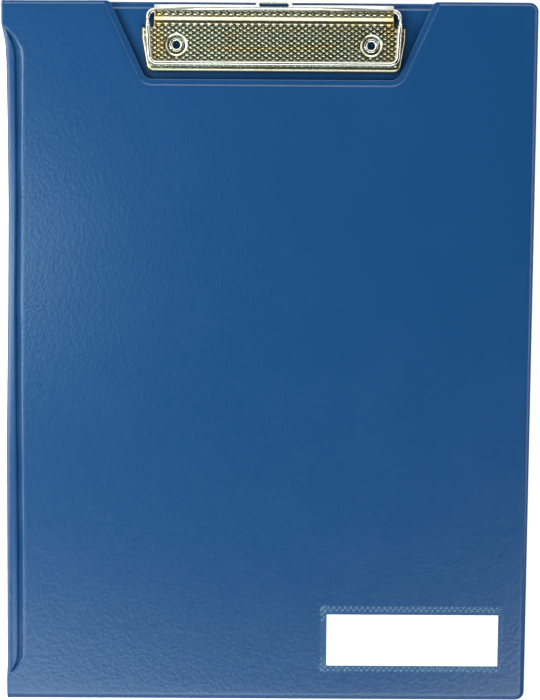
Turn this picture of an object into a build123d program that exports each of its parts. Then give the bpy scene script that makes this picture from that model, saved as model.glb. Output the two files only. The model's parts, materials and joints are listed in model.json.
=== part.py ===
from build123d import *
from math import cos, radians, tan
import os

# Clipboard folder, closed and lying on its back, in millimetres.
# X runs from the hinge to the fore edge, Y towards the clip, Z up.
# The origin is in the middle of the back's resting face.

# Covers
folder_width = 240.0
folder_height = 320.0
corner_radius = 4.0
smallest_radius = 0.6
skin_thickness = 0.35
back_board_thickness = 2.0
front_board_thickness = 1.8
paper_gap = 1.2             # room for sheets between the closed covers
weld_width = 2.4            # welded rim outside the boards
hinge_band = 8.6            # flexible vinyl between the spine and the boards
fold_gap = 0.15             # clearance between the spine and the hinge strips
back_margin = 0.5           # the back is this much smaller than the cover

# Notch in the cover, around the clip
notch_centre_x = 0.9
notch_side_angle = 24.8     # between the notch's sides and the Y axis
notch_side_gap = 1.5        # beside the clip's front corners
notch_front_gap = 3.0       # in front of the clip
notch_mouth_radius = 2.5
notch_corner_radius = 4.5

# Label pocket on the cover and its card
label_film_thickness = 0.2
label_card_thickness = 0.3
label_clearance = 0.1
label_card_width = 79.15
label_card_height = 24.1
label_card_right = 12.8     # from the fore edge to the card
label_card_bottom = 16.3    # from the bottom edge to the card
label_weld = 3.1            # dotted weld at the pocket's closed end and bottom
label_top_weld = 4.2        # and along its top
label_mouth = 2.3           # film beyond the card at the open end

# Document pocket on the inner face of the cover
inside_pocket_film = 0.3
inside_pocket_width = 196.0
inside_pocket_low_side = 96.0
inside_pocket_high_side = 168.0
inside_pocket_edge = 9.0    # from the boards' fore and bottom edges

# Clip
clip_centre_x = 1.8
clip_sheet = 0.7
pivot_from_top = 4.3        # from the cover's top edge to the bail's axis
wire_radius = 1.05
wire_clearance = 0.08       # bail wire in the jaw's rolled edge
curl_clearance = 0.1        # jaw's rolled edge in the base plate's curl
curl_end_angle = 75.0       # where the curl stops, from the rear over the top
base_front_gap = 5.0        # between the base plate and the jaw's lip
hang_tab_reach = 6.3        # hanging tab behind the axis
hang_tab_root = 1.5         # where the tab leaves the curl, behind the axis
hang_tab_root_rise = 1.8    # middle of its sheet above the axis there
hang_tab_tip_rise = -0.2    # and at its tip
hang_tab_root_width = 17.5
hang_tab_tip_width = 11.5
hang_slot_length = 13.3
hang_slot_width = 1.8
hang_slot_from_axis = 2.6   # from the axis to the middle of the slot

# Jaw plate
jaw_rise = 1.14             # plate's upper face above the rolled edge
jaw_rear = 7.8              # rear edge of the wide part, in front of the axis
jaw_front = 28.0            # lip's lower edge, in front of the axis
jaw_width = 120.0
jaw_neck_step = 6.7         # the neck is narrower by this on each side
jaw_side_slope = 2.4        # how far the side rims lean outwards
jaw_front_slope = 2.2
jaw_side_taper = 2.6        # how far each side closes in at the lip
jaw_taper_start = 12.5      # where the sides start to close in, in front of the axis
jaw_shoulder_radius = 20.0
jaw_corner_radius = 4.0
jaw_edge_radius = 0.6
jaw_lip_gap = 0.3           # lip above the back's inner face
jaw_rim_gap = 1.2           # side rims above the back's inner face
jaw_rib_start = 2.5         # in front of the axis
jaw_rib_gap = 0.8           # behind the wide part
jaw_rib_height = 0.45
jaw_rib_slope = 1.1

# Rivets, with a washer behind the board
rivet_spacing = 87.0
rivet_from_axis = 15.2
rivet_hole_radius = 1.4
rivet_shank_radius = 2.0
rivet_clearance = 0.05
rivet_head_radius = 3.0
rivet_head_thickness = 0.9
rivet_tail_radius = 3.0
rivet_tail_thickness = 0.45
washer_radius = 4.4
washer_thickness = 0.45
boss_radius = 3.9
boss_height = 2.8
access_hole_radius = 4.3
access_collar_height = 1.4

# Wire bail
bail_arm_gap = 1.85         # between the neck and the arms
bail_front_taper = 0.9      # how far each arm closes in at the front run
bail_leg_length = 25.0      # legs inside the jaw's rolled edge
bail_kink_radius = 1.5
bail_corner_radius = 3.4
bail_low_straight = 1.0     # arm between its bend and its kink
bail_kink_gap = 1.1         # between the kink and the jaw's wide part
bail_from_lip = 2.6         # from the lip's upper edge back to the front run
bail_gap = 0.1              # bail above the jaw plate

# Heights
back_thickness = back_board_thickness + 2 * skin_thickness
front_thickness = front_board_thickness + 2 * skin_thickness
front_inner_z = back_thickness + paper_gap
front_outer_z = front_inner_z + front_thickness
back_weld_z = back_thickness / 2
front_weld_z = front_inner_z + front_thickness / 2

# Places in plan
fore_edge_x = folder_width / 2
top_edge_y = folder_height / 2
fold_x = -folder_width / 2 + skin_thickness
strip_left_x = fold_x + skin_thickness + fold_gap
board_left_x = -folder_width / 2 + hinge_band

# Clip places
roll_inner_radius = wire_radius + wire_clearance
roll_outer_radius = roll_inner_radius + clip_sheet
curl_inner_radius = roll_outer_radius + curl_clearance
curl_outer_radius = curl_inner_radius + clip_sheet
pivot_y = top_edge_y - pivot_from_top
pivot_z = back_thickness + curl_outer_radius
jaw_top_z = pivot_z + roll_outer_radius + jaw_rise
base_top_z = back_thickness + clip_sheet
rivet_y = pivot_y - rivet_from_axis
rivet_places = {
    "left": clip_centre_x - rivet_spacing / 2,
    "right": clip_centre_x + rivet_spacing / 2,
}
recess_depth = rivet_tail_thickness + washer_thickness
neck_width = jaw_width - 2 * jaw_neck_step
base_front = jaw_front - base_front_gap
notch_depth = pivot_from_top + jaw_front + notch_front_gap


def slab(plan, first_z, second_z):
    low = min(first_z, second_z)
    return Pos(0, 0, low) * extrude(plan, abs(second_z - first_z))


def rod(x, y, radius, low, high):
    return Pos(x, y, low) * extrude(Circle(radius), high - low)


def area(left, right, bottom, top):
    middle = Pos((left + right) / 2, (bottom + top) / 2)
    return middle * Rectangle(right - left, top - bottom)


def corner(plan, x, y):
    return plan.vertices().sort_by_distance((x, y, 0))[0]


def round_corner(plan, x, y, radius):
    return fillet(corner(plan, x, y), radius)


# Covers

def cover_left(inset):
    # The rim at the hinge reaches the spine; anything inset starts at the board.
    if inset == 0:
        return strip_left_x
    return board_left_x - weld_width + inset


def back_plan(inset):
    right = fore_edge_x - back_margin - inset
    top = top_edge_y - back_margin - inset
    radius = max(corner_radius - inset, smallest_radius)
    plan = area(cover_left(inset), right, -top, top)
    plan = round_corner(plan, right, top, radius)
    return round_corner(plan, right, -top, radius)


def notch_half_width(depth, inset):
    # Half the notch's width at a depth below the top edge. The notch grows by
    # the inset, measured square to its slanted sides.
    angle = radians(notch_side_angle)
    lip_depth = pivot_from_top + jaw_front
    at_lip = jaw_width / 2 - jaw_side_taper + notch_side_gap
    return at_lip + (lip_depth - depth) * tan(angle) + inset / cos(angle)


def front_plan(inset):
    right = fore_edge_x - inset
    top = top_edge_y - inset
    floor = top_edge_y - notch_depth - inset
    top_half = notch_half_width(inset, inset)
    bottom_half = notch_half_width(notch_depth + inset, inset)
    radius = max(corner_radius - inset, smallest_radius)
    mouth_radius = max(notch_mouth_radius - inset, smallest_radius)
    plan = area(cover_left(inset), right, -top, top)
    notch = make_face(Polyline(
        (notch_centre_x - top_half, top),
        (notch_centre_x - bottom_half, floor),
        (notch_centre_x + bottom_half, floor),
        (notch_centre_x + top_half, top),
        close=True,
    ))
    plan = plan - notch
    for side in (-1, 1):
        plan = round_corner(plan, notch_centre_x + side * bottom_half, floor, notch_corner_radius + inset)
        plan = round_corner(plan, notch_centre_x + side * top_half, top, mouth_radius)
    plan = round_corner(plan, right, top, radius)
    return round_corner(plan, right, -top, radius)


def welded_skin(plan, face_z, weld_z):
    # A shallow tray over the board with a flat rim at the weld.
    side = 1 if face_z > weld_z else -1
    rim = slab(plan(0), weld_z, weld_z + side * skin_thickness)
    tray = slab(plan(weld_width - skin_thickness), weld_z, face_z)
    room = slab(plan(weld_width), weld_z, face_z - side * skin_thickness)
    return rim + tray - room


def pierce(solid, radius):
    for x in rivet_places.values():
        solid -= rod(x, rivet_y, radius, -back_thickness, jaw_top_z)
    return solid


def make_back_board():
    low = skin_thickness
    board = slab(back_plan(weld_width), low, low + back_board_thickness)
    board = pierce(board, rivet_shank_radius + rivet_clearance)
    for x in rivet_places.values():
        board -= rod(x, rivet_y, washer_radius + rivet_clearance, low, low + recess_depth)
    return board


def make_front_board():
    low = front_inner_z + skin_thickness
    return slab(front_plan(weld_width), low, low + front_board_thickness)


# Spine: the two skins between the fold lines, each rounded about both folds

def spine_half(side):
    rise = front_weld_z - back_weld_z
    middle = (front_weld_z + back_weld_z) / 2
    section = Rectangle(2 * skin_thickness, rise)
    for end in (-rise / 2, rise / 2):
        section += Pos(0, end) * Circle(skin_thickness)
    half = Pos(side * skin_thickness, 0) * Rectangle(2 * skin_thickness, 2 * rise)
    section = section & half
    standing = Plane(origin=(fold_x, top_edge_y, middle), x_dir=(1, 0, 0), z_dir=(0, -1, 0))
    return extrude(standing * section, folder_height)


# Label pocket and card

label_right = fore_edge_x - label_card_right
label_left = label_right - label_card_width
label_bottom = -top_edge_y + label_card_bottom
label_top = label_bottom + label_card_height
label_room_height = label_card_thickness + 2 * label_clearance


def make_label_card():
    low = front_outer_z + label_clearance
    return slab(area(label_left, label_right, label_bottom, label_top), low, low + label_card_thickness)


def make_label_film():
    ease = label_clearance
    mouth = label_right + label_mouth
    top = label_top + ease
    bottom = label_bottom - ease
    left = label_left - ease
    rim = area(left - label_weld, mouth, bottom - label_weld, top + label_top_weld)
    wall = label_film_thickness
    window = area(left - wall, mouth, bottom - wall, top + wall)
    room = area(left, mouth + wall, bottom, top)
    low = front_outer_z
    film = slab(rim, low, low + wall)
    film += slab(window, low, low + label_room_height + wall)
    return film - slab(room, low, low + label_room_height)


def make_inside_pocket():
    right = fore_edge_x - weld_width - inside_pocket_edge
    left = right - inside_pocket_width
    bottom = -top_edge_y + weld_width + inside_pocket_edge
    plan = make_face(Polyline(
        (left, bottom),
        (right, bottom),
        (right, bottom + inside_pocket_high_side),
        (left, bottom + inside_pocket_low_side),
        close=True,
    ))
    return slab(plan, front_inner_z - inside_pocket_film, front_inner_z)


# Clip

def side_plane(x):
    # Section plane whose first axis runs forward from the bail's axis and second axis up.
    return Plane(origin=(x, pivot_y, pivot_z), x_dir=(0, -1, 0), z_dir=(-1, 0, 0))


def across(section, width):
    return extrude(side_plane(clip_centre_x + width / 2) * section, width)


def ring(outer, inner):
    return Circle(outer) - Circle(inner)


def make_hang_tab():
    # A tongue that slopes down and back from the top of the curl.
    root = curl_outer_radius - clip_sheet
    tab = make_face(Polyline(
        (clip_centre_x - hang_tab_root_width / 2, pivot_y),
        (clip_centre_x + hang_tab_root_width / 2, pivot_y),
        (clip_centre_x + hang_tab_root_width / 2, pivot_y + root),
        (clip_centre_x + hang_tab_tip_width / 2, pivot_y + hang_tab_reach),
        (clip_centre_x - hang_tab_tip_width / 2, pivot_y + hang_tab_reach),
        (clip_centre_x - hang_tab_root_width / 2, pivot_y + root),
        close=True,
    ))
    for side in (-1, 1):
        tip_x = clip_centre_x + side * hang_tab_tip_width / 2
        tab = round_corner(tab, tip_x, pivot_y + hang_tab_reach, hang_tab_tip_width / 5)
    line = Line((-hang_tab_root, hang_tab_root_rise), (-hang_tab_reach - clip_sheet, hang_tab_tip_rise))
    sheet = across(trace(line, clip_sheet), hang_tab_root_width)
    return sheet & slab(tab, back_thickness, jaw_top_z)


def make_hang_slot():
    slot = Pos(clip_centre_x, pivot_y + hang_slot_from_axis) * SlotOverall(hang_slot_length, hang_slot_width)
    return slab(slot, 0, jaw_top_z)


def make_boss(x):
    top = base_top_z + boss_height
    boss = rod(x, rivet_y, boss_radius, back_thickness, top)
    boss -= rod(x, rivet_y, boss_radius - clip_sheet, back_thickness, top - clip_sheet)
    return boss


def make_base_plate():
    flat_height = clip_sheet
    flat_z = -curl_outer_radius + flat_height / 2
    section = Pos(base_front / 2, flat_z) * Rectangle(base_front, flat_height)
    curl = ring(curl_outer_radius, curl_inner_radius)
    curl_end = Vector(curl_outer_radius * 2, 0).rotate(Axis.Z, 180 - curl_end_angle)
    opening = make_face(Polyline(
        (0, -curl_outer_radius * 2),
        (0, 0),
        curl_end,
        (curl_outer_radius * 2, curl_outer_radius * 2),
        (curl_outer_radius * 2, -curl_outer_radius * 2),
        close=True,
    ))
    section += curl - opening
    plate = across(section, neck_width)
    for x in rivet_places.values():
        plate -= rod(x, rivet_y, boss_radius - clip_sheet, back_thickness, base_top_z)
        plate += make_boss(x)
    plate += make_hang_tab()
    plate -= make_hang_slot()
    plate = pierce(plate, rivet_shank_radius + rivet_clearance)
    return plate


def jaw_plan(side_inset, front_inset):
    half = jaw_width / 2 - side_inset
    front_half = half - jaw_side_taper
    rear_y = pivot_y - jaw_rear
    taper_y = pivot_y - jaw_taper_start
    front_y = pivot_y - jaw_front + front_inset
    corners = [(half, rear_y), (half, taper_y), (front_half, front_y)]
    right_side = [(clip_centre_x + x, y) for x, y in corners]
    left_side = [(clip_centre_x - x, y) for x, y in reversed(corners)]
    plan = make_face(Polyline(*right_side, *left_side, close=True))
    for side in (-1, 1):
        plan = round_corner(plan, clip_centre_x + side * front_half, front_y, jaw_corner_radius)
        plan = round_corner(plan, clip_centre_x + side * half, taper_y, jaw_shoulder_radius)
    return plan


def jaw_form(inset):
    # Tapered form of the jaw's wide part, smaller by the inset all round.
    bottom = jaw_plan(inset, inset)
    top = jaw_plan(jaw_side_slope + inset, jaw_front_slope + inset)
    return loft([Pos(0, 0, back_thickness) * bottom, Pos(0, 0, jaw_top_z - inset) * top])


def make_neck():
    sheet_z = jaw_top_z - clip_sheet / 2 - pivot_z
    roll_z = roll_outer_radius - clip_sheet / 2
    rib_z = sheet_z + jaw_rib_height
    rib_end = jaw_rear - jaw_rib_gap
    line = FilletPolyline(
        (0, roll_z),
        (jaw_rib_start, roll_z),
        (jaw_rib_start + jaw_rib_slope, rib_z),
        (rib_end - jaw_rib_slope, rib_z),
        (rib_end, sheet_z),
        (jaw_rear + clip_sheet, sheet_z),
        radius=clip_sheet,
    )
    section = trace(line, clip_sheet)
    section += ring(roll_outer_radius, roll_inner_radius)
    section -= Circle(roll_inner_radius)
    return across(section, neck_width)


def make_jaw():
    form = jaw_form(0)
    top_edges = form.faces().sort_by(Axis.Z)[-1].edges()
    rear_y = pivot_y - jaw_rear
    rim_edges = [edge for edge in top_edges if edge.center().Y < rear_y - clip_sheet / 10]
    form = fillet(rim_edges, jaw_edge_radius)
    hollow = jaw_form(clip_sheet)
    behind = area(
        clip_centre_x - jaw_width / 2 + clip_sheet,
        clip_centre_x + jaw_width / 2 - clip_sheet,
        rear_y - clip_sheet * 2,
        rear_y + clip_sheet,
    )
    jaw = form - hollow
    jaw -= slab(behind, 0, back_thickness + jaw_rim_gap)
    wide = area(-folder_width, folder_width, 0, top_edge_y)
    lip_y = pivot_y - jaw_front + jaw_corner_radius
    side_room = area(-folder_width, folder_width, lip_y, top_edge_y)
    jaw -= slab(wide, 0, back_thickness + jaw_lip_gap)
    jaw -= slab(side_room, 0, back_thickness + jaw_rim_gap)
    jaw += make_neck()
    for x in rivet_places.values():
        collar_low = jaw_top_z - access_collar_height
        jaw += rod(x, rivet_y, access_hole_radius + clip_sheet, collar_low, jaw_top_z)
        jaw -= rod(x, rivet_y, access_hole_radius, 0, 2 * jaw_top_z)
    return jaw


def make_rivet(x):
    head_low = base_top_z + boss_height
    head_high = head_low + rivet_head_thickness
    tail_low = skin_thickness
    rivet = rod(x, rivet_y, rivet_shank_radius, tail_low, head_high)
    head = rod(x, rivet_y, rivet_head_radius, head_low, head_high)
    head = fillet(head.edges().sort_by(Axis.Z)[-1], rivet_head_thickness / 2)
    rivet += head
    rivet += rod(x, rivet_y, rivet_tail_radius, tail_low, tail_low + rivet_tail_thickness)
    return rivet - rod(x, rivet_y, rivet_hole_radius, 0, 2 * head_high)


def make_washer(x):
    low = skin_thickness + rivet_tail_thickness
    washer = rod(x, rivet_y, washer_radius, low, low + washer_thickness)
    return washer - rod(x, rivet_y, rivet_shank_radius + rivet_clearance, 0, 2 * back_thickness)


def make_bail():
    bend_radius = bail_arm_gap + wire_radius
    arm = neck_width / 2 + bend_radius
    front = arm - bail_front_taper
    leg = neck_width / 2 - bail_leg_length
    rest_z = jaw_top_z + bail_gap + wire_radius
    kink_start = bend_radius + bail_low_straight
    kink_end = jaw_rear - bail_kink_gap
    reach = jaw_front - jaw_front_slope - bail_from_lip
    right_side = [
        (leg, 0, pivot_z),
        (arm, 0, pivot_z),
        (arm, kink_start, pivot_z),
        (arm, kink_end, rest_z),
        (front, reach, rest_z),
    ]
    radii = [bend_radius, bail_kink_radius, bail_kink_radius, bail_corner_radius]
    points = [(clip_centre_x + x, pivot_y - y, z) for x, y, z in right_side]
    points += [(clip_centre_x - x, pivot_y - y, z) for x, y, z in reversed(right_side)]
    route = FilletPolyline(*points, radius=radii + radii[::-1])
    start = Plane(origin=route @ 0, z_dir=route % 0)
    return sweep(start * Circle(wire_radius), path=route)


parts = {
    "back_outer_skin": welded_skin(back_plan, 0, back_weld_z),
    "back_board": make_back_board(),
    "back_inner_skin": pierce(
        welded_skin(back_plan, back_thickness, back_weld_z), rivet_shank_radius + rivet_clearance
    ),
    "spine_outer_skin": spine_half(-1),
    "spine_inner_skin": spine_half(1),
    "front_outer_skin": welded_skin(front_plan, front_outer_z, front_weld_z),
    "front_board": make_front_board(),
    "front_inner_skin": welded_skin(front_plan, front_inner_z, front_weld_z),
    "label_pocket_film": make_label_film(),
    "label_card": make_label_card(),
    "inside_pocket": make_inside_pocket(),
    "clip_base_plate": make_base_plate(),
    "clip_jaw_plate": make_jaw(),
    "wire_bail": make_bail(),
}
for name, x in rivet_places.items():
    parts["rivet_" + name] = make_rivet(x)
    parts["rivet_washer_" + name] = make_washer(x)

os.makedirs("parts", exist_ok=True)
for name, solid in parts.items():
    export_step(solid, "parts/" + name + ".step")
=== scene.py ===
import bpy
import json
import numpy as np
from math import atan2, cos, exp, hypot, pi, radians, sin, tan
from mathutils import Euler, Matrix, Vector
from mathutils.geometry import delaunay_2d_cdt


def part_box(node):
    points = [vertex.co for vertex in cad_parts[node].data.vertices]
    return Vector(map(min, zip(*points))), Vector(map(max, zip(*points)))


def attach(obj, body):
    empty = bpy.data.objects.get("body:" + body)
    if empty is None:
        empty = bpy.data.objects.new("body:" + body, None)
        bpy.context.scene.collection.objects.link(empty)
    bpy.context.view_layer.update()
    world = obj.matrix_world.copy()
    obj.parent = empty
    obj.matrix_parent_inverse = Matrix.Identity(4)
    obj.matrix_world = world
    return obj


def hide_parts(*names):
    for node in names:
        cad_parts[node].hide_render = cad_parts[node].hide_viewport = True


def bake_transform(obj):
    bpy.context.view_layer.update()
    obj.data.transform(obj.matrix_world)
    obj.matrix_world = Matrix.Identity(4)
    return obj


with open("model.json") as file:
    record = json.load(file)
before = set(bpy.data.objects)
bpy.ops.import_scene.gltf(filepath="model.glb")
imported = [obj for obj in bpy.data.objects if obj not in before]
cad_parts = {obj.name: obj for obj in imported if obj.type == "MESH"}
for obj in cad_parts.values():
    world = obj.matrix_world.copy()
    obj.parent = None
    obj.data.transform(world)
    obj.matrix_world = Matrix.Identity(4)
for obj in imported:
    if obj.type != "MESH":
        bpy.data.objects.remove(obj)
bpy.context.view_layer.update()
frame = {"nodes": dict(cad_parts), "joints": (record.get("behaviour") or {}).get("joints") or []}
mm = 0.001
print("frame loaded:", len(frame["nodes"]), "solids")


# Shared measuring helpers; everything is worked out in millimetres and made in metres

def nodeBox(node):
    low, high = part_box(node)
    return low / mm, high / mm


def lerp(a, b, share):
    return a + (b - a) * share


def smoothStep(value, low, high):
    share = min(max((value - low) / (high - low), 0.0), 1.0)
    return share * share * (3 - 2 * share)


def alongTable(table, place):
    # straight reading between the (place, value) pairs of a short list, places rising
    if place <= table[0][0]:
        return table[0][1]
    for (p0, v0), (p1, v1) in zip(table, table[1:]):
        if place <= p1:
            return lerp(v0, v1, (place - p0) / (p1 - p0))
    return table[-1][1]


def eased(table, place, reach):
    # the same reading, averaged over a short reach so that no knee shows
    steps = 8
    total = sum(alongTable(table, place + reach * (2 * i / steps - 1)) for i in range(steps + 1))
    return total / (steps + 1)


def splineThrough(points, steps):
    # Catmull-Rom curve through 2D points
    ends = [2 * points[0] - points[1]] + points + [2 * points[-1] - points[-2]]
    curve = []
    for a, b, c, d in zip(ends, ends[1:], ends[2:], ends[3:]):
        for i in range(steps):
            t = i / steps
            curve.append(0.5 * (2 * b + (c - a) * t + (2 * a - 5 * b + 4 * c - d) * t * t
                                + (3 * b - a - 3 * c + d) * t ** 3))
    curve.append(points[-1].copy())
    return curve


def edgeOffset(first, second, inset):
    # the line of an edge, moved to the right of its direction
    way = (second - first).normalized()
    side = Vector((way.y, -way.x))
    return first + side * inset, way


def crossing(lineA, lineB):
    (p, u), (q, v) = lineA, lineB
    turn = u.x * v.y - u.y * v.x
    reach = ((q.x - p.x) * v.y - (q.y - p.y) * v.x) / turn
    return p + u * reach


def insetCorners(corners, insets):
    # an open path of corners, each edge moved in by its own inset
    lines = [edgeOffset(a, b, i) for a, b, i in zip(corners, corners[1:], insets)]
    middle = [crossing(a, b) for a, b in zip(lines, lines[1:])]
    start = lines[0][0]
    end = lines[-1][0] + lines[-1][1] * (corners[-1] - corners[-2]).length
    return [start] + middle + [end]


def roundedPath(corners, radii, arcSteps, edgeSteps):
    # path with an arc at each inner corner and evenly divided straight stretches
    path = []
    last = corners[0]
    for i, corner in enumerate(corners[1:-1]):
        before = (corners[i] - corner).normalized()
        after = (corners[i + 2] - corner).normalized()
        angle = before.angle(after)
        radius = radii[i]
        cut = radius / tan(angle / 2)
        start, end = corner + before * cut, corner + after * cut
        centre = corner + (before + after).normalized() * (radius / sin(angle / 2))
        steps = edgeSteps[i]
        path += [last.lerp(start, k / steps) for k in range(steps)]
        first = atan2(start.y - centre.y, start.x - centre.x)
        sweep = (atan2(end.y - centre.y, end.x - centre.x) - first + pi) % (2 * pi) - pi
        for k in range(arcSteps):
            turn = first + sweep * k / arcSteps
            path.append(centre + radius * Vector((cos(turn), sin(turn))))
        last = end
    steps = edgeSteps[-1]
    path += [last.lerp(corners[-1], k / steps) for k in range(steps + 1)]
    return path


class Builder:
    # collects vertices and faces in millimetres and turns them into one object

    def __init__(self):
        self.points = []
        self.faces = []
        self.known = {}

    def point(self, x, y, z):
        key = (round(x, 4), round(y, 4), round(z, 4))
        if key not in self.known:
            self.known[key] = len(self.points)
            self.points.append((x * mm, y * mm, z * mm))
        return self.known[key]

    def face(self, corners):
        kept = [c for i, c in enumerate(corners) if c != corners[i - 1]]
        if len(set(kept)) >= 3:
            self.faces.append(kept)

    def band(self, lower, upper, closed=False):
        # quads between two rows with the same number of points
        count = len(lower)
        for i in range(count if closed else count - 1):
            j = (i + 1) % count
            self.face([lower[i], lower[j], upper[j], upper[i]])

    def bands(self, rows, closed=False, flip=False):
        # each row joined to the next
        for lower, upper in zip(rows, rows[1:]):
            self.band(*((upper, lower) if flip else (lower, upper)), closed)

    def fill(self, loops, inner, height, upward=True):
        # a meshed plate inside the first loop and outside the others; loops are rows of point numbers
        rim = [i for loop in loops for i in loop]
        plan = [Vector(self.points[i][:2]) / mm for i in rim] + [Vector(p) for p in inner]
        edges = []
        start = 0
        for loop in loops:
            size = len(loop)
            edges += [(start + i, start + (i + 1) % size) for i in range(size)]
            start += size
        flat, _, triangles, origins, *_ = delaunay_2d_cdt(plan, edges, [], 2, 1e-6)
        ids = []
        for p, origin in zip(flat, origins):
            known = [i for i in origin if i < len(rim)]
            ids.append(rim[known[0]] if known else self.point(p.x, p.y, height(p.x, p.y)))
        holes = [set(loop) for loop in loops[1:]]
        for triangle in triangles:
            corners = [ids[i] for i in triangle]
            if not any(hole.issuperset(corners) for hole in holes):
                self.face(corners if upward else corners[::-1])

    def build(self, name, material, angle=None):
        mesh = bpy.data.meshes.new(name)
        mesh.from_pydata(self.points, [], self.faces)
        mesh.validate()
        mesh.polygons.foreach_set("use_smooth", [True] * len(mesh.polygons))
        mesh.materials.append(material)
        if angle is not None:
            mesh.set_sharp_from_angle(angle=radians(angle))
        return addObject(name, mesh)


def addObject(name, data):
    made = bpy.data.objects.new(name, data)
    bpy.context.scene.collection.objects.link(made)
    return made


def circle(mesh, centre, radius, z, count):
    turns = [2 * pi * i / count for i in range(count)]
    return [mesh.point(centre.x + radius * cos(t), centre.y + radius * sin(t), z) for t in turns]


def thicken(piece, sheet):
    # gives a skin its thickness, on the side away from its faces
    layer = piece.modifiers.new("sheet", "SOLIDIFY")
    layer.thickness = sheet * mm
    layer.offset = -1


# Materials

def nodeIn(tree, kind, links=None, **values):
    node = tree.nodes.new(kind)
    for name, value in values.items():
        setattr(node, name, value)
    for socket, value in (links or {}).items():
        target = node.inputs[socket]
        if isinstance(value, bpy.types.NodeSocket):
            tree.links.new(value, target)
        else:
            target.default_value = value
    return node


def mathIn(tree, operation, *values):
    return nodeIn(tree, "ShaderNodeMath", dict(enumerate(values)), operation=operation).outputs[0]


def rangeIn(tree, value, fromMin, fromMax, toMin=0.0, toMax=1.0, smooth=False):
    spans = {"Value": value, "From Min": fromMin, "From Max": fromMax, "To Min": toMin, "To Max": toMax}
    kind = "SMOOTHSTEP" if smooth else "LINEAR"
    return nodeIn(tree, "ShaderNodeMapRange", spans, interpolation_type=kind).outputs[0]


def noiseIn(tree, place, scale, detail):
    links = {"Vector": place, "Scale": scale, "Detail": detail}
    return nodeIn(tree, "ShaderNodeTexNoise", links).outputs["Fac"]


def makeGroup(name, inputs, outputs):
    # empty node group of plain values, with the object's own coordinates placed in it
    group = bpy.data.node_groups.new(name, "ShaderNodeTree")
    for socket, value in inputs.items():
        made = group.interface.new_socket(name=socket, in_out="INPUT", socket_type="NodeSocketFloat")
        made.default_value = value
    for socket in outputs:
        group.interface.new_socket(name=socket, in_out="OUTPUT", socket_type="NodeSocketFloat")
    given = group.nodes.new("NodeGroupInput").outputs
    result = group.nodes.new("NodeGroupOutput").inputs
    return group, given, result, nodeIn(group, "ShaderNodeTexCoord").outputs["Object"]


grainLook = {
    "stretch": (1.25, 0.95, 1.0),
    "finer": 2.7,           # fine cells per pebble
    "fineShare": 0.3,       # their height against the pebbles'
    "cloud": 260.0,         # size of the soft cloud, per metre
}


def makeGrainGroup():
    # pressed leather-like grain: pebbles with fine cells between them, and a soft cloud for the gloss
    group, given, result, place = makeGroup("pressedGrain", {"Cells per mm": 2.0, "Softness": 0.5},
                                            ("Height", "Mask"))
    drawn = nodeIn(group, "ShaderNodeMapping", {"Vector": place, "Scale": grainLook["stretch"]}).outputs[0]
    size = mathIn(group, "MULTIPLY", given["Cells per mm"], 1000.0)
    finer = mathIn(group, "MULTIPLY", size, grainLook["finer"])
    pebbles = nodeIn(group, "ShaderNodeTexVoronoi", {"Vector": drawn, "Scale": size, "Smoothness": 0.7},
                     feature="SMOOTH_F1")
    cells = nodeIn(group, "ShaderNodeTexVoronoi", {"Vector": drawn, "Scale": finer}, feature="SMOOTH_F1")
    both = mathIn(group, "MULTIPLY_ADD", cells.outputs["Distance"], grainLook["fineShare"],
                  pebbles.outputs["Distance"])
    cloud = noiseIn(group, place, grainLook["cloud"], 4.0)
    mixed = nodeIn(group, "ShaderNodeMix", {"Factor": given["Softness"], "A": both, "B": cloud})
    group.links.new(mixed.outputs["Result"], result["Height"])
    group.links.new(cloud, result["Mask"])
    return group


marksLook = {
    "streakTurn": 0.7,      # radians
    "streakStretch": 14.0,
    "streaks": (60.0, 6.0), # scale and detail
    "streakShown": (0.62, 0.8),
    "streakStrength": 0.6,
    "patchShown": (0.5, 0.75),
}


def makeScuffGroup():
    # faint rubbed patches and hair-fine scratches, 0 where untouched
    group, given, result, place = makeGroup("handlingMarks", {"Amount": 0.5, "Size": 30.0}, ("Mask",))
    turned = nodeIn(group, "ShaderNodeMapping", {
        "Vector": place, "Rotation": (0.0, 0.0, marksLook["streakTurn"]),
        "Scale": (1.0, marksLook["streakStretch"], 1.0),
    })
    streaks = noiseIn(group, turned.outputs[0], *marksLook["streaks"])
    fine = rangeIn(group, streaks, *marksLook["streakShown"], 0.0, marksLook["streakStrength"])
    broad = rangeIn(group, noiseIn(group, place, given["Size"], 3.0), *marksLook["patchShown"])
    both = mathIn(group, "MAXIMUM", fine, broad)
    group.links.new(mathIn(group, "MULTIPLY", both, given["Amount"]), result["Mask"])
    return group


# Painted reflection: warm reflections on the embossed nickel, painted into its colour as stripes across the
# clip and patches near its ends
warmReflectionLook = {
    "colour": (0.68, 0.42, 0.12),
    "amount": 0.7,
    "middle": 0.0018,       # metres across
    # centre along Y, half width, strength, reach to each side of the middle (m)
    "stripes": [(0.149, 0.0012, 0.55, 0.04), (0.1415, 0.0017, 0.75, 0.036)],
    "stripeFade": 0.012,
    "endPatch": (0.047, 0.056),     # distance from the middle
    "front": (0.132, 0.137),        # no patch in front of this
    "drift": (45.0, 0.004),         # scale of the stripes' waver, and its reach
    "spots": (0.4, 0.6),
}


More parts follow.
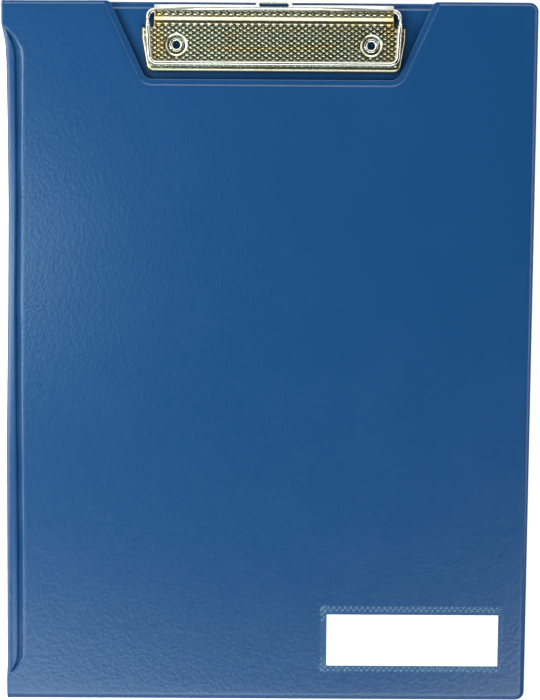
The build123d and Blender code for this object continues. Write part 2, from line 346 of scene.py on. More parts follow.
def makeWarmReflectionGroup():
    # painted reflection of warm surroundings: warm-tinted stripes along the clip and patches near its ends,
    # 0 where bright
    look = warmReflectionLook
    group, given, result, place = makeGroup("paintedWarmReflection", {"Amount": 1.0}, ("Mask",))
    drift = noiseIn(group, place, look["drift"][0], 2.0)
    parts = nodeIn(group, "ShaderNodeSeparateXYZ", {"Vector": place}).outputs
    wave = mathIn(group, "MULTIPLY_ADD", drift, look["drift"][1], parts["Y"])
    off = mathIn(group, "ABSOLUTE", mathIn(group, "SUBTRACT", parts["X"], look["middle"]))
    shares = []
    for centre, half, strength, reach in look["stripes"]:
        away = mathIn(group, "ABSOLUTE", mathIn(group, "SUBTRACT", wave, centre))
        line = rangeIn(group, away, 0.0, half, strength, 0.0, smooth=True)
        ends = rangeIn(group, off, reach - look["stripeFade"], reach, 1.0, 0.0)
        shares.append(mathIn(group, "MULTIPLY", line, ends))
    low, high = look["endPatch"]
    away = mathIn(group, "ABSOLUTE", mathIn(group, "SUBTRACT", off, (low + high) / 2))
    patch = rangeIn(group, away, 0.0, (high - low) / 2, 1.0, 0.0, smooth=True)
    spots = rangeIn(group, drift, *look["spots"], 0.0, rangeIn(group, parts["Y"], *look["front"]))
    total = mathIn(group, "MULTIPLY", patch, spots)
    for share in shares:
        total = mathIn(group, "MAXIMUM", total, share)
    group.links.new(mathIn(group, "MULTIPLY", total, given["Amount"]), result["Mask"])
    return group


grainGroup, scuffGroup, warmReflectionGroup = makeGrainGroup(), makeScuffGroup(), makeWarmReflectionGroup()


def startMaterial(name):
    material = bpy.data.materials.new(name)
    material.use_nodes = True
    tree = material.node_tree
    return material, tree, tree.nodes["Principled BSDF"]


def placeGroup(tree, group, **values):
    node = nodeIn(tree, "ShaderNodeGroup", node_tree=group)
    for name, value in values.items():
        node.inputs[name.replace("_", " ")].default_value = value
    return node.outputs


def tintBetween(tree, factor, first, second):
    mix = nodeIn(tree, "ShaderNodeMix", data_type="RGBA")
    tree.links.new(factor, mix.inputs[0])
    mix.inputs[6].default_value = (*first, 1.0)
    mix.inputs[7].default_value = (*second, 1.0)
    return mix.outputs[2]


def bumpFrom(tree, shader, height, strength, distance):
    links = {"Height": height, "Strength": strength, "Distance": distance * mm}
    tree.links.new(nodeIn(tree, "ShaderNodeBump", links).outputs[0], shader.inputs["Normal"])


vinylLook = {
    "blue": (0.0067, 0.0515, 0.150),
    "worn": (0.0102, 0.0575, 0.161),
    "gloss": (0.18, 0.26),      # roughness where smooth and where rubbed
    "grain": 0.045,             # depth of the pressed grain, mm
}


def makeVinyl():
    material, tree, shader = startMaterial("blueVinyl")
    grain = placeGroup(tree, grainGroup, Cells_per_mm=0.62, Softness=0.25)
    marks = placeGroup(tree, scuffGroup, Amount=0.5, Size=28.0)
    colour = tintBetween(tree, marks["Mask"], vinylLook["blue"], vinylLook["worn"])
    tree.links.new(colour, shader.inputs["Base Color"])
    gloss = rangeIn(tree, grain["Mask"], 0.0, 1.0, *vinylLook["gloss"])
    tree.links.new(gloss, shader.inputs["Roughness"])
    shader.inputs["IOR"].default_value = 1.5
    bumpFrom(tree, shader, grain["Height"], 1.0, vinylLook["grain"])
    return material


nickelLook = {
    # tint where untouched and where rubbed, roughness from and to
    "nickelSheet": ((0.72, 0.72, 0.64), (0.66, 0.60, 0.44), (0.16, 0.26)),
    "nickelEmbossed": ((0.47, 0.44, 0.31), (0.43, 0.36, 0.2), (0.2, 0.29)),
    "nickelWire": ((0.78, 0.78, 0.70), (0.72, 0.68, 0.54), (0.08, 0.18)),
}


def makeNickel(name, paintsWarmReflection=False):
    untouched, rubbed, roughness = nickelLook[name]
    material, tree, shader = startMaterial(name)
    marks = placeGroup(tree, scuffGroup, Amount=0.8, Size=90.0)
    grain = placeGroup(tree, grainGroup, Cells_per_mm=4.0, Softness=0.8)
    colour = tintBetween(tree, marks["Mask"], untouched, rubbed)
    # painted reflection: the warm stripes and patches are tinted into the base colour
    if paintsWarmReflection:
        yellow = placeGroup(tree, warmReflectionGroup, Amount=warmReflectionLook["amount"])
        reflectionTinted = tintBetween(tree, yellow["Mask"], untouched, warmReflectionLook["colour"])
        tree.links.new(colour, reflectionTinted.node.inputs[6])
        colour = reflectionTinted
    tree.links.new(colour, shader.inputs["Base Color"])
    tree.links.new(rangeIn(tree, grain["Mask"], 0.0, 1.0, *roughness), shader.inputs["Roughness"])
    shader.inputs["Metallic"].default_value = 1.0
    bumpFrom(tree, shader, grain["Height"], 0.08, 0.01)
    return material


paperLook = {
    # lighter and darker tint, roughness, strength and depth (mm) of the grain
    "greyBoard": ((0.34, 0.32, 0.28), (0.22, 0.2, 0.17), 0.9, 0.4, 0.08),
    "whiteCard": ((0.98, 0.95, 0.92), (0.95, 0.92, 0.89), 0.75, 0.15, 0.02),
}


def makePaper(name, cells, softness, rubbed):
    lighter, darker, roughness, strength, depth = paperLook[name]
    material, tree, shader = startMaterial(name)
    grain = placeGroup(tree, grainGroup, Cells_per_mm=cells, Softness=softness)
    mask = placeGroup(tree, scuffGroup, Amount=1.0, Size=400.0)["Mask"] if rubbed else grain["Mask"]
    tree.links.new(tintBetween(tree, mask, lighter, darker), shader.inputs["Base Color"])
    shader.inputs["Roughness"].default_value = roughness
    bumpFrom(tree, shader, grain["Height"], strength, depth)
    return material


filmLook = {
    "tint": (0.24, 0.42, 0.6, 1.0),
    "gloss": (0.12, 0.3),
    "opacity": (0.03, 0.2),         # of the clear film and of a welded dot
    "sheet": 0.14,
    "cover": 0.25,          # film above the card
    "slope": (0.15, 0.9),   # distance from the card where the film starts and stops falling
    "dotPitch": 2.6,
    "rowPitch": 1.25,       # between the two staggered rows of dots
    "dotRadius": 0.68,
    "dotFade": 0.7,         # the rows of the closed end fade out over this
    "dotRise": 0.1,
    "edge": 1.0,            # from the film's edge to the first row
    "endDots": 7.0,         # dots at the closed end only this far from the top and the bottom
    "cell": 0.34,           # mesh of the weld
    "openCell": 4.0,        # mesh between the dots of the closed end
}


def makeFilm():
    # clear film, frosted where the mesh says that it is welded
    material, tree, shader = startMaterial("clearFilm")
    grain = placeGroup(tree, grainGroup, Cells_per_mm=1.2, Softness=0.9)
    frost = nodeIn(tree, "ShaderNodeAttribute", attribute_name="frost").outputs["Fac"]
    shader.inputs["Base Color"].default_value = filmLook["tint"]
    gloss = rangeIn(tree, grain["Mask"], 0.0, 1.0, *filmLook["gloss"])
    tree.links.new(gloss, shader.inputs["Roughness"])
    tree.links.new(rangeIn(tree, frost, 0.0, 1.0, *filmLook["opacity"]), shader.inputs["Alpha"])
    bumpFrom(tree, shader, grain["Height"], 0.1, 0.02)
    return material


vinyl = makeVinyl()
nickelSheet, nickelWire = makeNickel("nickelSheet"), makeNickel("nickelWire")
# the embossed nickel carries the painted warm reflection
nickelEmbossed = makeNickel("nickelEmbossed", paintsWarmReflection=True)
greyBoard = makePaper("greyBoard", 1.4, 0.6, rubbed=True)
whiteCard = makePaper("whiteCard", 3.0, 0.7, rubbed=False)
clearFilm = makeFilm()
print("materials made")


# Covers: a welded vinyl envelope, with the hinge's groove beside its spine

coverFront = nodeBox("front_outer_skin")
coverFrontInner = nodeBox("front_inner_skin")
coverBack = nodeBox("back_outer_skin")
coverBackInner = nodeBox("back_inner_skin")
spineBox = nodeBox("spine_outer_skin")
spineMiddle = (spineBox[0].z + spineBox[1].z) / 2

rimLook = {
    # across the edge: distance in, share of the flat weld before it, height above the weld's middle
    # on the outer edges and on the edges with a flat weld
    "steps": [(0.0, 0.0, 0.0, 0.0), (0.02, 0.0, 0.22, 0.24), (0.07, 0.0, 0.46, 0.36),
              (0.15, 0.0, 0.63, 0.41), (0.27, 0.0, 0.74, 0.46), (0.31, 0.33, 0.76, 0.62),
              (0.36, 0.67, 0.78, 0.72),
              (0.42, 1.0, 0.8, 0.84), (0.6, 1.0, 0.83, 0.89), (0.8, 1.0, 0.87, 0.975),
              (1.0, 1.0, 0.945, 1.065), (1.25, 1.0, 1.045, 1.165), (1.5, 1.0, 1.135, 1.215),
              (1.9, 1.0, 1.205, 1.24), (2.4, 1.0, 1.235, 1.245), (3.4, 1.0, 1.25, 1.25)],
    "outerFlat": 0.1,       # flat weld along the outer edges
    "notchFlat": 1.85,      # flat weld around the notch and on the back
    "sag": 0.07,            # how far the skin sinks between the edges
    "sagReach": 30,         # from the hinge to the full sag
    "cornerRadius": 4.0,    # corners at the fore edge
    "cell": 7.0,            # size of the panel's mesh
}
panelHalf = rimLook["steps"][-1][3]
arcSteps = 10           # points round each corner of a cover


def sagAt(x, y):
    # slight unevenness of the skin over the board, never above it
    wave = sin(x * 0.031 + 1.1) * sin(y * 0.023 + 0.4) + 0.5 * sin(x * 0.052 - y * 0.037)
    return -rimLook["sag"] * (0.5 + 0.33 * wave)


class Cover:
    # one envelope: outer face z, inner face z, and its open outline from the hinge and back to it

    def __init__(self, outerZ, innerZ, corners, radii, flats, edgeSteps, seamX):
        # flats: width of the flat weld along each edge
        self.outerZ, self.innerZ = outerZ, innerZ
        self.middle = (outerZ + innerZ) / 2
        self.half = abs(outerZ - innerZ) / 2
        self.corners, self.radii, self.flats = corners, radii, flats
        self.edgeSteps, self.seamX = edgeSteps, seamX

    def level(self, height, side):
        # z of a height of the rim's profile, on the outer or the inner face
        sign = side if self.outerZ > self.innerZ else -side
        return self.middle + sign * height * self.half / panelHalf

    def welded(self):
        # for each point of a ring, 1 on the edges with a flat weld and 0 on the others
        marks = [1.0 if flat > rimLook["outerFlat"] else 0.0 for flat in self.flats]
        shares = []
        for i, steps in enumerate(self.edgeSteps[:-1]):
            shares += [marks[i]] * steps
            shares += [lerp(marks[i], marks[i + 1], k / arcSteps) for k in range(arcSteps)]
        return shares + [marks[-1]] * (self.edgeSteps[-1] + 1)

    def ring(self, step):
        reach, share = step[:2]
        insets = [reach + share * flat for flat in self.flats]
        corners = insetCorners(self.corners, insets)
        corners[0] = Vector((self.seamX, corners[0].y))
        corners[-1] = Vector((self.seamX, corners[-1].y))
        radii = []
        for i, (radius, hollow) in enumerate(self.radii):
            inset = (insets[i] + insets[i + 1]) / 2
            radii.append(radius + inset if hollow else max(radius - inset, 0.5))
        return roundedPath(corners, radii, arcSteps, self.edgeSteps)

    def rowPlaces(self):
        # Y of the rim's rows where they meet the seam, at the top edge and at the bottom one
        steps = rimLook["steps"]
        top = [self.corners[0].y - s[0] - s[1] * self.flats[0] for s in steps]
        bottom = [self.corners[-1].y + s[0] + s[1] * self.flats[-1] for s in reversed(steps)]
        return top, bottom

    def face(self, mesh, side, long):
        # one skin of the panel: rings over the rim, then a meshed plate
        steps = rimLook["steps"]
        rings = [self.ring(step) for step in steps]
        shares = self.welded()
        rows = [[mesh.point(p.x, p.y, self.level(lerp(step[2], step[3], share), side))
                 for p, share in zip(ring, shares)] for ring, step in zip(rings, steps)]
        upward = (side > 0) == (self.outerZ > self.innerZ)
        mesh.bands(rows, flip=upward)
        seam = [mesh.point(self.seamX, y, self.level(panelHalf, side)) for y in reversed(long)]
        inner = self.gridInside(rings[-1], rimLook["cell"])

        def height(x, y):
            flat = self.level(panelHalf, side)
            if side < 0:
                return flat
            edge = min((x - self.seamX) / rimLook["sagReach"], 1)
            return flat + (1 if self.outerZ > self.innerZ else -1) * sagAt(x, y) * edge

        mesh.fill([rows[-1] + seam], inner, height, upward)

    def gridInside(self, ring, cell):
        lowX, lowY = min(p.x for p in ring), min(p.y for p in ring)
        wide, high = max(p.x for p in ring) - lowX, max(p.y for p in ring) - lowY
        across, along = int(wide / cell), int(high / cell)
        places = [Vector((lowX + i * wide / across, lowY + j * high / along))
                  for i in range(1, across) for j in range(1, along)]
        return [p for p in places if clearOf(ring + [ring[0]], p, cell * 0.45)]


def clearOf(loop, p, gap):
    # inside a closed loop and at least the gap from it
    inside = False
    for a, b in zip(loop, loop[1:]):
        if (a.y > p.y) != (b.y > p.y) and p.x < a.x + (p.y - a.y) * (b.x - a.x) / (b.y - a.y):
            inside = not inside
        along = (b - a).length_squared
        share = 0 if along == 0 else min(max((p - a).dot(b - a) / along, 0), 1)
        if (a + (b - a) * share - p).length < gap:
            return False
    return inside


hingeLook = {
    "seamX": -107.0,        # where the hinge's mesh meets the panel's
    # left outline, and the groove's inner edge, along Y; the ends are welded flat
    "outline": [(-150.5, -119.95), (-143.5, -119.6), (-105.0, -119.4), (-39.0, -119.1), (25.0, -117.95),
                (68.0, -117.4), (107.0, -117.5), (133.0, -117.8), (140.3, -118.2), (144.7, -118.9),
                (149.3, -119.95)],
    "ridge": [(-148.8, -118.2), (-147.6, -116.6), (-143.8, -113.5), (-141.0, -111.7), (-133.0, -111.2),
              (25.0, -111.3), (71.0, -110.8), (124.8, -109.9), (135.0, -109.7), (138.1, -110.3),
              (139.9, -111.3), (143.4, -113.5), (147.4, -116.8), (148.9, -118.0)],
    # depth of the groove along Y, and its lowest line as a share of the way from the outline to the ridge
    "depth": [(-150.0, 1.3), (-112.0, 1.4), (-90.0, 1.75)],
    "valley": [(-110.0, 0.69), (-55.0, 0.67), (20.0, 0.6), (75.0, 0.63), (110.0, 0.59), (150.0, 0.56)],
    "flatRidge": 1.8,       # outline to ridge where there is no groove
    "fullRidge": 5.4,       # outline to ridge where the groove is at its full depth
    # crown of the spine: share of the way to the valley, depth, share of the groove's depth
    "crown": [(0.71, 0.1, 0.06), (0.54, 0.17, 0.05), (0.36, 0.3, 0.03), (0.2, 0.48, 0.02),
              (0.09, 0.68, 0.0)],
    # wall: back from the valley as a share of the width, share of the depth
    "wall": [(0.025, 0.94), (0.055, 0.66), (0.09, 0.36), (0.125, 0.17)],
    # rise: share of the way from the ridge to the valley, share of the depth
    "rise": [(0.03, 0.03), (0.12, 0.075), (0.3, 0.2), (0.6, 0.53), (0.82, 0.83), (0.94, 0.97), (1.0, 1.0)],
    # rolled edge of the spine, outside and inside: distance from the outline, depth
    "outerRoll": [(0.12, 0.92), (0.02, 1.3), (0.0, 1.9)],
    "innerRoll": [(0.7, 2.0), (0.85, 1.5), (1.5, 1.25), (2.3, 1.55)],
    "turnRows": (132, 151, 0.55),   # where the groove turns out to the edge, and the rows' gap there
    "rowGap": 3.0,
}


def hingeRows(top, bottom):
    # close rows where the groove turns out to the edge, wide ones between
    first, last, close = hingeLook["turnRows"]
    places = []
    y = top
    while y > bottom:
        places.append(y)
        y -= close if first < abs(y) < last else hingeLook["rowGap"]
    return places[1:]


def hingeOuter(y):
    # outline, ridge, and the outer face from the seam to the middle of the spine as (x, depth)
    edge = eased(hingeLook["outline"], y, 1.2)
    ridge = max(eased(hingeLook["ridge"], y, 0.5), edge + hingeLook["flatRidge"])
    width = ridge - edge
    grooved = smoothStep(width, hingeLook["flatRidge"], hingeLook["fullRidge"])
    # pressed a little unevenly by hand, and deeper at one place
    wobble = 1 + 0.12 * sin(y * 0.16) * sin(y * 0.043 + 1) + 0.1 * exp(-((y + 2) / 9) ** 2)
    depth = alongTable(hingeLook["depth"], y) * grooved * wobble
    valley = eased(hingeLook["valley"], y, 8)
    seam = hingeLook["seamX"]
    section = [(seam, 0.0), (lerp(ridge, seam, 0.45), 0.0), (ridge + 0.7, 0.0)]
    section += [(ridge - share * (1 - valley) * width, deep * depth) for share, deep in hingeLook["rise"]]
    section += [(edge + (valley - back) * width, deep * depth) for back, deep in hingeLook["wall"]]
    section += [(edge + share * valley * width, low + deep * depth)
                for share, low, deep in hingeLook["crown"]]
    section += [(edge + reach, deep) for reach, deep in hingeLook["outerRoll"]]
    return edge, ridge, section


def hingeInner(edge, ridge, thickness):
    rolled = [(edge + reach, deep) for reach, deep in hingeLook["innerRoll"]]
    return rolled + [(lerp(edge, ridge, 0.6), thickness - 0.25), (lerp(edge, ridge, 0.8), thickness - 0.03),
                     (ridge, thickness), (hingeLook["seamX"], thickness)]


def hingeSection(cover, y):
    # both faces of the hinge at one row, from the seam round the spine and back to the seam
    thickness = 2 * cover.half
    down = -1 if cover.outerZ > cover.innerZ else 1
    edge, ridge, outer = hingeOuter(y)
    outer = [Vector((x, cover.outerZ + down * depth)) for x, depth in outer]
    inner = [Vector((x, cover.outerZ + down * depth)) for x, depth in hingeInner(edge, ridge, thickness)]
    outer.append(Vector((edge, spineMiddle)))
    inner.insert(0, Vector((edge + hingeLook["innerRoll"][0][0], spineMiddle)))
    return splineThrough(outer, 4), splineThrough(inner, 7)


def addHinge(mesh, cover, long):
    top, bottom = cover.rowPlaces()
    shares = cover.welded()
    first, last = ([lerp(s[2], s[3], share) / panelHalf for s in rimLook["steps"]]
                   for share in (shares[0], shares[-1]))
    rows = list(zip(top, first)) + [(y, 1.0) for y in long] + list(zip(bottom, reversed(last)))
    outerRows, innerRows = [], []
    for y, share in rows:
        outer, inner = hingeSection(cover, y)
        count = len(outer) - 1
        back = [inner[round((1 - i / count) * (len(inner) - 1))] for i in range(count + 1)]
        middle = [(a + b) / 2 for a, b in zip(outer, back)]
        middle[0] = Vector((outer[0].x, cover.middle))
        for kept, face in ((outerRows, outer), (innerRows, back)):
            squeezed = [m + (p - m) * share for m, p in zip(middle, face)]
            kept.append([mesh.point(p.x, y, p.y) for p in squeezed])
    flip = cover.outerZ < cover.innerZ
    mesh.bands(outerRows, flip=flip)
    mesh.bands(innerRows, flip=not flip)


def makeCover(name, cover, replaced):
    mesh = Builder()
    top, bottom = cover.rowPlaces()
    long = hingeRows(top[-1], bottom[0])
    cover.face(mesh, 1, long)
    cover.face(mesh, -1, long)
    addHinge(mesh, cover, long)
    piece = mesh.build(name, vinyl)
    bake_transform(piece)
    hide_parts(*replaced)


notchLook = {
    "centreX": 0.9,
    "floorY": 125.4,        # front edge of the notch
    "floorHalf": 56.4,      # half its width there, before the corners are rounded
    "mouthHalf": 72.4,
    "cornerRadius": 4.5,
    "mouthRadius": 2.5,
    "topSkew": 0.2,         # top edge lies this much lower at the hinge and higher at the fore edge
}


def frontCorners():
    low, high = coverFront
    n = notchLook
    top = high.y
    return [Vector(p) for p in (
        (hingeLook["seamX"], top - n["topSkew"]), (n["centreX"] - n["mouthHalf"], top),
        (n["centreX"] - n["floorHalf"], n["floorY"]), (n["centreX"] + n["floorHalf"], n["floorY"]),
        (n["centreX"] + n["mouthHalf"], top + n["topSkew"]), (high.x, top + n["topSkew"]),
        (high.x, low.y), (hingeLook["seamX"], low.y),
    )]


outerFlat, notchFlat = rimLook["outerFlat"], rimLook["notchFlat"]
outerCorner = (rimLook["cornerRadius"], False)
notchMouth, notchCorner = (notchLook["mouthRadius"], False), (notchLook["cornerRadius"], True)
frontCover = Cover(
    coverFront[1].z, coverFrontInner[0].z, frontCorners(),
    [notchMouth, notchCorner, notchCorner, notchMouth, outerCorner, outerCorner],
    [outerFlat, notchFlat, notchFlat, notchFlat, outerFlat, outerFlat, outerFlat],
    [6, 8, 18, 8, 8, 44, 34], hingeLook["seamX"],
)
backCorners = [Vector(p) for p in (
    (hingeLook["seamX"], coverBack[1].y), (coverBack[1].x, coverBack[1].y),
    (coverBack[1].x, coverBack[0].y), (hingeLook["seamX"], coverBack[0].y),
)]
backCover = Cover(
    coverBack[0].z, coverBackInner[1].z, backCorners, [outerCorner, outerCorner],
    [notchFlat, outerFlat, outerFlat], [30, 44, 34], hingeLook["seamX"],
)
makeCover("frontCoverVinyl", frontCover,
          ("front_outer_skin", "front_inner_skin", "spine_outer_skin"))
makeCover("backCoverVinyl", backCover,
          ("back_outer_skin", "back_inner_skin", "spine_inner_skin"))

boardLook = {
    "inset": 1.3,           # from the weld
    "left": -109.0,         # clear of the hinge's groove
    "round": 0.25,
}


def makeBoard(node, cover, body):
    # stiffening board inside a cover
    low, high = nodeBox(node)
    bevel = boardLook["round"]
    mesh = Builder()
    rows = []
    for inset, z in ((bevel, low.z), (0, low.z + bevel), (0, high.z - bevel), (bevel, high.z)):
        ring = cover.ring((boardLook["inset"] + inset, 1.0))    # behind the flat weld
        ring[0].x = ring[-1].x = boardLook["left"] + inset
        rows.append([mesh.point(p.x, p.y, z) for p in ring])
    mesh.bands(rows, closed=True, flip=True)
    mesh.fill([rows[-1]], [], lambda x, y: high.z)
    mesh.fill([rows[0]], [], lambda x, y: low.z, upward=False)
    piece = mesh.build(node.replace("_b", "B"), greyBoard, 40)
    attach(piece, body)
    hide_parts(node)


makeBoard("front_board", frontCover, "front_cover")
makeBoard("back_board", backCover, "back_cover")
print("covers made")


# Clip: jaw plate with its embossing, wire bail, base plate and rivets

pivot = Vector(frame["joints"][3]["pos_m"]) / mm
jawBox = nodeBox("clip_jaw_plate")
backTop = coverBackInner[1].z
clipX = (jawBox[0].x + jawBox[1].x) / 2

jawLook = {
    "halfWidth": (jawBox[1].x - jawBox[0].x) / 2,
    "neckHalf": 53.3,
    "rear": 7.8,            # rear edge of the wide part, in front of the pivot
    "taperStart": 12.5,
    "taper": 2.6,
    "shoulderRadius": 20.0,
    "cornerRadius": 4.0,
    "neckFillet": 1.6,
    "sheet": 0.7,
    "sideGap": 1.2,         # lower edge of the side rims above the back
    "lipGap": 0.3,          # the same of the front lip
    "lipBlend": (1.0, 4.5), # where the lip goes over to the side rims, from the front
    "hornReach": 1.3,       # rear ends of the side rims
    # rim sections: distance in from the lower edge, share of the rim's height
    "sideRim": [(0.0, 0.0), (0.3, 0.34), (0.55, 0.62), (0.8, 0.85), (0.95, 0.93), (1.15, 0.97), (1.5, 0.99),
                (2.2, 1.0)],
    "frontRim": [(0.0, 0.0), (0.4, 0.36), (0.75, 0.66), (1.0, 0.84), (1.15, 0.9), (1.45, 0.945),
                 (1.9, 0.985), (2.4, 1.0)],
    # plate's height behind and in front of the rib: distance in front of the pivot, height above it
    "profile": [(0.0, 1.83), (0.1, 1.82), (0.55, 1.68), (0.75, 1.66), (1.6, 1.74), (2.4, 1.92), (2.9, 2.05),
                (3.15, 2.14), (3.9, 2.44), (4.3, 2.58), (4.6, 2.65), (4.85, 2.67), (5.3, 2.67),
                (5.55, 2.72), (6.1, 2.87), (6.4, 2.92), (6.7, 2.94), (30.0, 2.94)],
    "rollTurn": 250,        # degrees of the roll round the wire
    "cell": (0.29, 0.2),    # size of the plate's mesh across and along
}
dotLook = {
    "pitch": (3.2, 1.1),    # between dots in a row, and between rows; every other row is shifted by half
    "size": (0.86, 0.58),   # half width and half height of a dot
    "height": 0.21,
    "flank": 0.85,          # 1 for a straight flank, less for a rounder dot
    "firstRow": 0.9,        # rows start this far in front of the pivot
    # where they grow and vanish, in front of the pivot
    "start": (0.3, 0.7),
    "ribStart": (2.3, 2.7),
    "ribEnd": (5.6, 6.1),
    "end": (24.6, 25.1),
}
rivetBox = {side: nodeBox("rivet_" + side) for side in ("left", "right")}
holeLook = {
    "centres": [Vector(((b[0].x + b[1].x) / 2, (b[0].y + b[1].y) / 2)) for b in rivetBox.values()],
    "plain": (5.15, 5.45),  # no dots inside the first radius, full ones from the second
    # dished rim of the access holes: radius, depth
    "section": [(5.05, 0.0), (4.95, 0.03), (4.7, 0.125), (4.45, 0.225), (4.2, 0.325), (4.08, 0.4),
                (4.03, 0.65), (4.03, 1.4)],
}


def plateHeight(y):
    return pivot.z + eased(jawLook["profile"], pivot.y - y, 0.18)


def dotHeight(x, y):
    # staggered raised dots, none on the rib, the roll's top, the lip or around the holes
    reach = pivot.y - y
    pitchX, pitchY = dotLook["pitch"]
    row = round((reach - dotLook["firstRow"]) / pitchY)
    shift = pitchX / 2 if row % 2 else 0
    across = (x - clipX + shift) % pitchX - pitchX / 2
    along = reach - dotLook["firstRow"] - row * pitchY
    away = hypot(across / dotLook["size"][0], along / dotLook["size"][1])
    if away >= 1:
        return 0.0
    rib = smoothStep(reach, *dotLook["ribStart"]) * (1 - smoothStep(reach, *dotLook["ribEnd"]))
    fade = smoothStep(reach, *dotLook["start"]) * (1 - rib) * (1 - smoothStep(reach, *dotLook["end"]))
    for centre in holeLook["centres"]:
        fade *= smoothStep(hypot(x - centre.x, y - centre.y), *holeLook["plain"])
    return dotLook["height"] * fade * (1 - away) ** dotLook["flank"]


def rimRing(side, front, extra):
    # open path of the turned-down rims, clockwise from the right rear end
    k = jawLook
    half, frontHalf = k["halfWidth"], k["halfWidth"] - k["taper"]
    rear, taperY, frontY = pivot.y - k["rear"], pivot.y - k["taperStart"], jawBox[0].y
    places = [(half, rear), (half, taperY), (frontHalf, frontY)]
    places += [(-x, y) for x, y in reversed(places)]
    corners = insetCorners([Vector((clipX + x, y)) for x, y in places], [side, side, front, side, side])
    corners[0] = Vector((corners[0].x, corners[0].y + extra))
    corners[-1] = Vector((corners[-1].x, corners[-1].y + extra))
    inset = (side + front) / 2
    corner = max(k["cornerRadius"] - inset, 0.9)
    return roundedPath(corners, [k["shoulderRadius"], corner, corner, k["shoulderRadius"]], 14,
                       [14, 40, 260, 40, 14])


def rimRows(mesh):
    # the rims from their lower edge up to the plate
    k = jawLook
    rows = []
    for (sideIn, share), (frontIn, frontShare) in zip(k["sideRim"], k["frontRim"]):
        row = []
        for p in rimRing(sideIn, frontIn, k["hornReach"] * (1 - share) ** 1.5):
            lip = 1 - smoothStep(p.y - jawBox[0].y, *k["lipBlend"])
            low = backTop + lerp(k["sideGap"], k["lipGap"], lip)
            rise = lerp(share, frontShare, lip)
            row.append(mesh.point(p.x, p.y, lerp(low, plateHeight(p.y), rise)))
        rows.append(row)
    mesh.bands(rows, flip=True)
    return rows[-1]


def neckPath(mesh, first, last):
    # sheet edges from the left rim's rear end round the neck to the right one's
    k = jawLook
    rearY = pivot.y - k["rear"]
    left, right = clipX - k["neckHalf"], clipX + k["neckHalf"]
    corners = [Vector(last), Vector((left, rearY)), Vector((left, pivot.y))]
    leftSide = roundedPath(corners, [k["neckFillet"]], 8, [8, 24])[1:]
    corners = [Vector((right, pivot.y)), Vector((right, rearY)), Vector(first)]
    rightSide = roundedPath(corners, [k["neckFillet"]], 8, [24, 8])[:-1]
    count = int((right - left) / k["cell"][0])
    roll = [Vector((lerp(left, right, i / count), pivot.y)) for i in range(1, count)]
    make = lambda p: mesh.point(p.x, p.y, plateHeight(p.y))
    rollRow = [make(p) for p in [leftSide[-1]] + roll + [rightSide[0]]]
    return [make(p) for p in leftSide] + rollRow[1:-1] + [make(p) for p in rightSide], rollRow


def holeRings(mesh, centre):
    # dished edge of an access hole, down into its collar
    rows = [circle(mesh, centre, radius, plateHeight(centre.y) - depth, 64)
            for radius, depth in holeLook["section"]]
    mesh.bands(rows, closed=True)
    return rows[0]


def rollStrip(mesh, rollRow):
    # the sheet's rear edge, rolled round the wire
    radius = jawLook["profile"][0][1]
    row = rollRow
    for i in range(1, 25):
        turn = pi / 2 + radians(jawLook["rollTurn"]) * i / 24
        place = [mesh.points[j][0] / mm for j in rollRow]
        new = [mesh.point(x, pivot.y - radius * cos(turn), pivot.z + radius * sin(turn)) for x in place]
        mesh.band(row, new)
        row = new


def platePoints(loop, holes):
    # grid of the dotted plate, clear of its edges and holes
    outline = np.array([(p.x, p.y) for p in loop])
    low, high = outline.min(0), outline.max(0)
    stepX, stepY = jawLook["cell"]
    xs = np.arange(low[0] + stepX / 2, high[0], stepX)
    ys = np.arange(low[1] + stepY / 2, high[1], stepY)
    grid = np.stack(np.meshgrid(xs, ys), -1).reshape(-1, 2)
    inside = np.zeros(len(grid), bool)
    near = np.full(len(grid), 1e9)
    for a, b in zip(outline, np.roll(outline, -1, 0)):
        crosses = (a[1] > grid[:, 1]) != (b[1] > grid[:, 1])
        if a[1] != b[1]:
            inside ^= crosses & (grid[:, 0] < a[0] + (grid[:, 1] - a[1]) * (b[0] - a[0]) / (b[1] - a[1]))
        along = max(((b - a) ** 2).sum(), 1e-12)    # no division by zero
        share = np.clip(((grid - a) @ (b - a)) / along, 0, 1)
        near = np.minimum(near, np.hypot(*(a + share[:, None] * (b - a) - grid).T))
    keep = inside & (near > stepY * 0.6)
    for centre in holes:
        off = np.hypot(grid[:, 0] - centre.x, grid[:, 1] - centre.y)
        keep &= off > holeLook["section"][0][0] + stepY * 0.6
    return [tuple(p) for p in grid[keep]]


def makeJaw():
    mesh = Builder()
    rim = rimRows(mesh)
    at = lambda i: Vector(mesh.points[i][:2]) / mm
    neck, rollRow = neckPath(mesh, at(rim[0]), at(rim[-1]))
    loop = rim + neck
    holes = [holeRings(mesh, centre) for centre in holeLook["centres"]]
    inner = platePoints([at(i) for i in loop], holeLook["centres"])
    mesh.fill([loop] + holes, inner, lambda x, y: plateHeight(y) + dotHeight(x, y))
    rollStrip(mesh, rollRow)
    piece = mesh.build("jawPlate", nickelEmbossed)
    thicken(piece, jawLook["sheet"])
    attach(piece, "jaw")
    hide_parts("clip_jaw_plate")


makeJaw()
print("jaw made")

